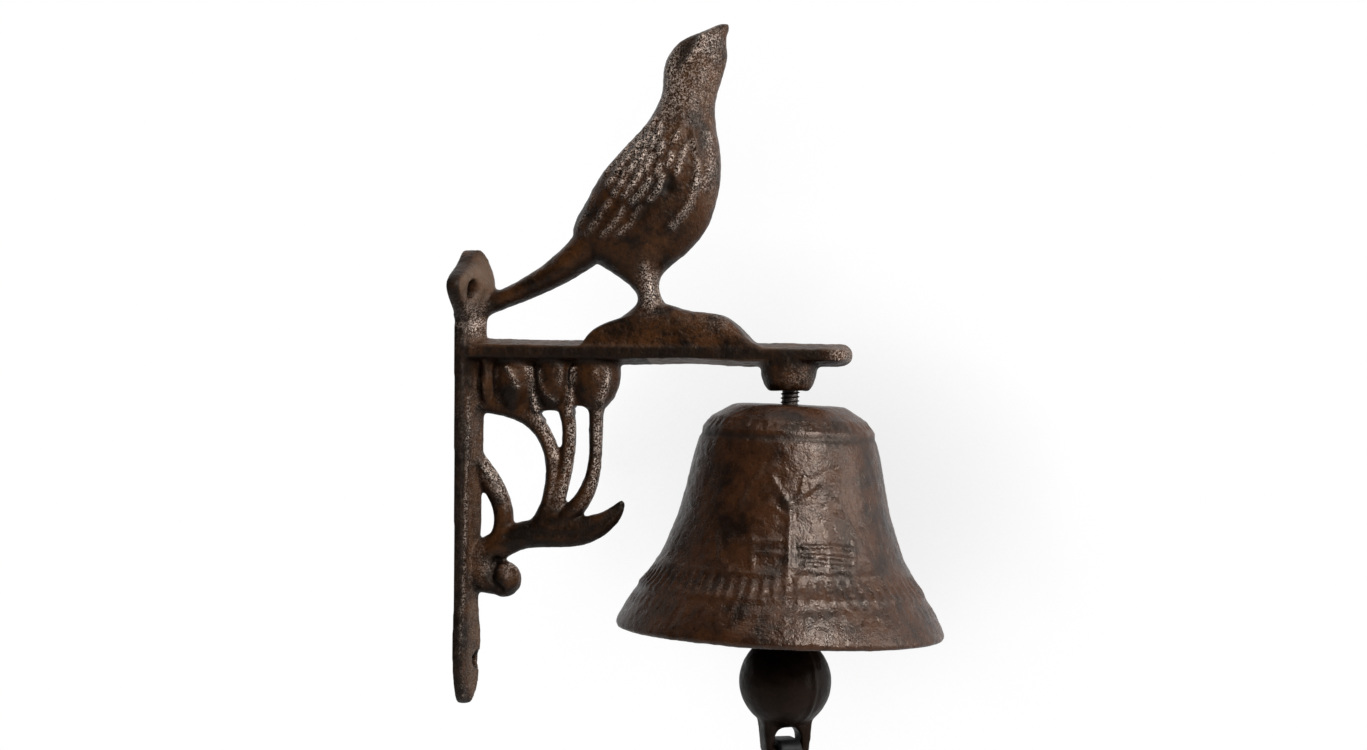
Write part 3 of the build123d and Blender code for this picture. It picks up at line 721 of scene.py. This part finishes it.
def softbox(name, turn, rise, distance, size, power):
    turn, rise = math.radians(turn), math.radians(rise)
    way = Vector((math.sin(turn) * math.cos(rise), -math.cos(turn) * math.cos(rise), math.sin(rise)))
    lamp = bpy.data.objects.new(name, bpy.data.lights.new(name, "AREA"))
    bpy.context.scene.collection.objects.link(lamp)
    lamp.data.shape, lamp.data.size, lamp.data.size_y = "RECTANGLE", size[0], size[1]
    lamp.data.energy = power
    lamp.location = lit_spot + way * distance
    lamp.rotation_mode = "QUATERNION"
    lamp.rotation_quaternion = (-way).to_track_quat("-Z", "Y")


softbox("window_light", turn=43, rise=31, distance=1.1, size=(0.28, 0.65), power=13.0)
softbox("side_light", turn=86, rise=12, distance=1.1, size=(0.4, 0.8), power=5.5)
softbox("top_light", turn=0, rise=66, distance=1.1, size=(0.3, 0.3), power=1.5)

# %% [markdown]
# The bell is shown close before a white board, as in the photograph, over a pale floor. The
# camera sees the board as a plain white glow with a painted shadow where the object is near, and
# reflections see it at half that strength. The painted shadow is a distance measured by rays,
# tilted to the side the window is on. The board is clear on its back face, so that the part can
# also be looked at from behind.
# %% Board and floor
def white_board(name, size, location, rotation, towards, reach):
    bpy.ops.mesh.primitive_plane_add(size=size, location=location, rotation=rotation)
    board = bpy.context.active_object
    board.name = board.data.name = name
    settle(board)
    material = bpy.data.materials.new(name)
    material.use_nodes = True
    tree = material.node_tree
    tree.nodes.clear()
    paper = add_node(tree, "ShaderNodeBsdfDiffuse", Color=(0.45, 0.45, 0.46, 1))
    # Painted shadow: the glow is dimmed where rays meet the object close by.
    shade = add_node(tree, "ShaderNodeAmbientOcclusion", Distance=reach, Normal=towards)
    shade.samples = 24
    white = add_node(tree, "ShaderNodeEmission", Color=(1, 1, 1, 1))
    tree.links.new(span(tree, shade.outputs["AO"], 0.5, 0.95, 0.5, 1.0), white.inputs["Strength"])
    ray = tree.nodes.new("ShaderNodeLightPath")
    mirrored = product(tree, product(tree, ray.outputs["Is Glossy Ray"], ray.outputs["Is Transmission Ray"],
                                     "MAXIMUM"), 0.5)
    seen = product(tree, ray.outputs["Is Camera Ray"], mirrored, "MAXIMUM")
    shown = tree.nodes.new("ShaderNodeMixShader")
    clear = tree.nodes.new("ShaderNodeBsdfTransparent")
    facing = tree.nodes.new("ShaderNodeMixShader")
    for socket, value in ((shown.inputs[0], seen), (shown.inputs[1], paper.outputs[0]),
                          (shown.inputs[2], white.outputs[0]),
                          (facing.inputs[0], tree.nodes.new("ShaderNodeNewGeometry").outputs["Backfacing"]),
                          (facing.inputs[1], shown.outputs[0]), (facing.inputs[2], clear.outputs[0]),
                          (tree.nodes.new("ShaderNodeOutputMaterial").inputs["Surface"], facing.outputs[0])):
        tree.links.new(value, socket)
    board.data.materials.append(material)


white_board("backdrop", size=4.0, location=(0.07, 0.1, 0.0), rotation=(math.radians(90), 0, 0),
            towards=(0.3, -0.93, 0.2), reach=0.1)
white_board("floor", size=4.0, location=(0.07, 0.0, -0.36), rotation=(0, 0, 0),
            towards=(0, 0, 1), reach=0.02)

# %% [markdown]
# The room in front of the bell is dim and the room behind it is white, as in a small studio.
# The camera sees white all round. Reflections see white only where they look to the back, so
# that the lacquer keeps its depth, and the light that falls on the iron stays low.
# %% World
world = bpy.data.worlds.new("studio")
bpy.context.scene.world = world
world.use_nodes = True
air = world.node_tree
ray = air.nodes.new("ShaderNodeLightPath")
way = add_node(air, "ShaderNodeSeparateXYZ", Vector=air.nodes.new("ShaderNodeTexCoord").outputs["Generated"])
mirrored = product(air, ray.outputs["Is Glossy Ray"], ray.outputs["Is Transmission Ray"], "MAXIMUM")
mirrored = product(air, mirrored, span(air, way.outputs["Y"], 0.05, 0.4))
seen = product(air, ray.outputs["Is Camera Ray"], mirrored, "MAXIMUM")
air.links.new(span(air, seen, 0, 1, 0.06, 1.0), air.nodes["Background"].inputs["Strength"])
air.nodes["Background"].inputs["Color"].default_value = (1, 1, 1, 1)

bpy.context.scene.view_settings.view_transform = "Standard"
